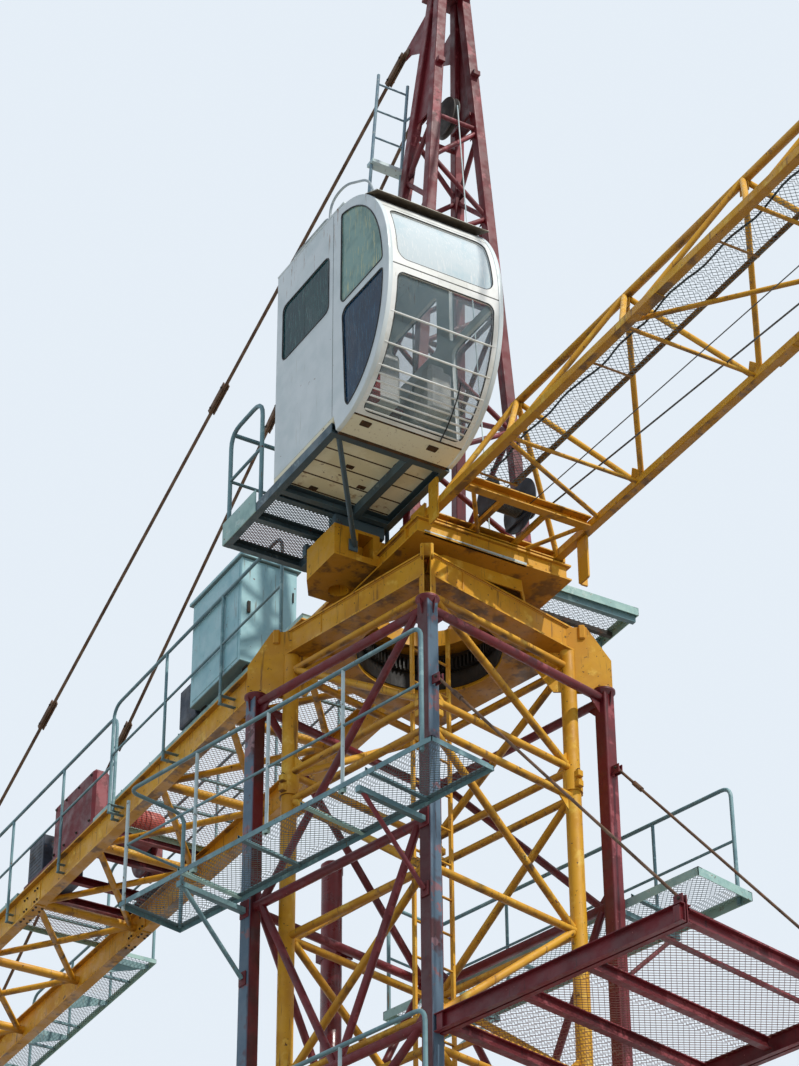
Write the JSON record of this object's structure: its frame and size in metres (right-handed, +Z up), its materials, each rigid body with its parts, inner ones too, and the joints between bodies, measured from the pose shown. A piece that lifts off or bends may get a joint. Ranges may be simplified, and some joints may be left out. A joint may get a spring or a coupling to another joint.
{
  "type": "tower crane",
  "caption": "Saddle-jib tower crane with lattice mast, climbing cage, slewing cab, pyramid tower head, counter-jib and counterweights.",
  "frame": {"origin": "centre of the mast on the underside of the base frame, at ground level", "axes": "+Z up the mast, +X towards the introduction platform, +Y across the cage"},
  "size_m": [28.416, 8.1575, 22.6212],
  "materials": {
    "yellow_paint": "satin",
    "maroon_paint": "satin",
    "grey_green_paint": "satin",
    "dark_steel": "satin",
    "cab_paint": "satin",
    "cab_glass": "gloss",
    "seat_fabric": "matte",
    "concrete": "matte"
  },
  "bodies": {
    "mast": {"base_frame": "yellow_paint", "mast_chords": "yellow_paint", "mast_side_front": "yellow_paint", "mast_side_right": "yellow_paint", "mast_side_back": "yellow_paint", "mast_side_left": "yellow_paint", "mast_ladder": "yellow_paint", "slewing_support": "yellow_paint", "corner_wings": "yellow_paint", "ring_lower": "dark_steel", "cage_posts": "maroon_paint", "cage_side_front": "maroon_paint", "cage_side_right": "maroon_paint", "cage_side_back": "maroon_paint", "cage_side_left": "maroon_paint", "climbing_cylinder": "maroon_paint", "cage_decks": "grey_green_paint", "cage_rails": "grey_green_paint", "intro_platform": "maroon_paint", "intro_guys": "dark_steel"},
    "upper": {"ring_upper": "dark_steel", "turntable": "yellow_paint", "side_deck": "grey_green_paint", "head_side_left": "maroon_paint", "head_side_right": "maroon_paint", "head_braces": "maroon_paint", "head_top": "maroon_paint", "head_ladder": "grey_green_paint", "cab_platform": "grey_green_paint", "cab_rails": "grey_green_paint", "cab_floor": "cab_paint", "cab_walls": "cab_paint", "cab_roof": "cab_paint", "cab_front": "cab_paint", "cab_windscreen": "cab_glass", "cab_glass": "cab_glass", "cab_seat": "seat_fabric", "jib_chords": "yellow_paint", "jib_side_left": "yellow_paint", "jib_side_right": "yellow_paint", "jib_bottom": "yellow_paint", "jib_root": "yellow_paint", "jib_tip": "yellow_paint", "jib_walkway": "grey_green_paint", "trolley_winch": "dark_steel", "trolley": "maroon_paint", "hook_block": "maroon_paint", "jib_ties": "dark_steel", "cj_girders": "yellow_paint", "cj_bracing": "yellow_paint", "cj_deck": "grey_green_paint", "cj_rails": "grey_green_paint", "electric_cabinet": "grey_green_paint", "hoist_winch": "maroon_paint", "counterweights": "concrete", "cj_ties": "dark_steel"}
  },
  "joints": [
    {"name": "slewing", "type": "hinge", "parent": "mast", "child": "upper", "pos_m": [0, 0, 15.5], "axis": [0, 0, 1], "continuous": true}
  ]
}
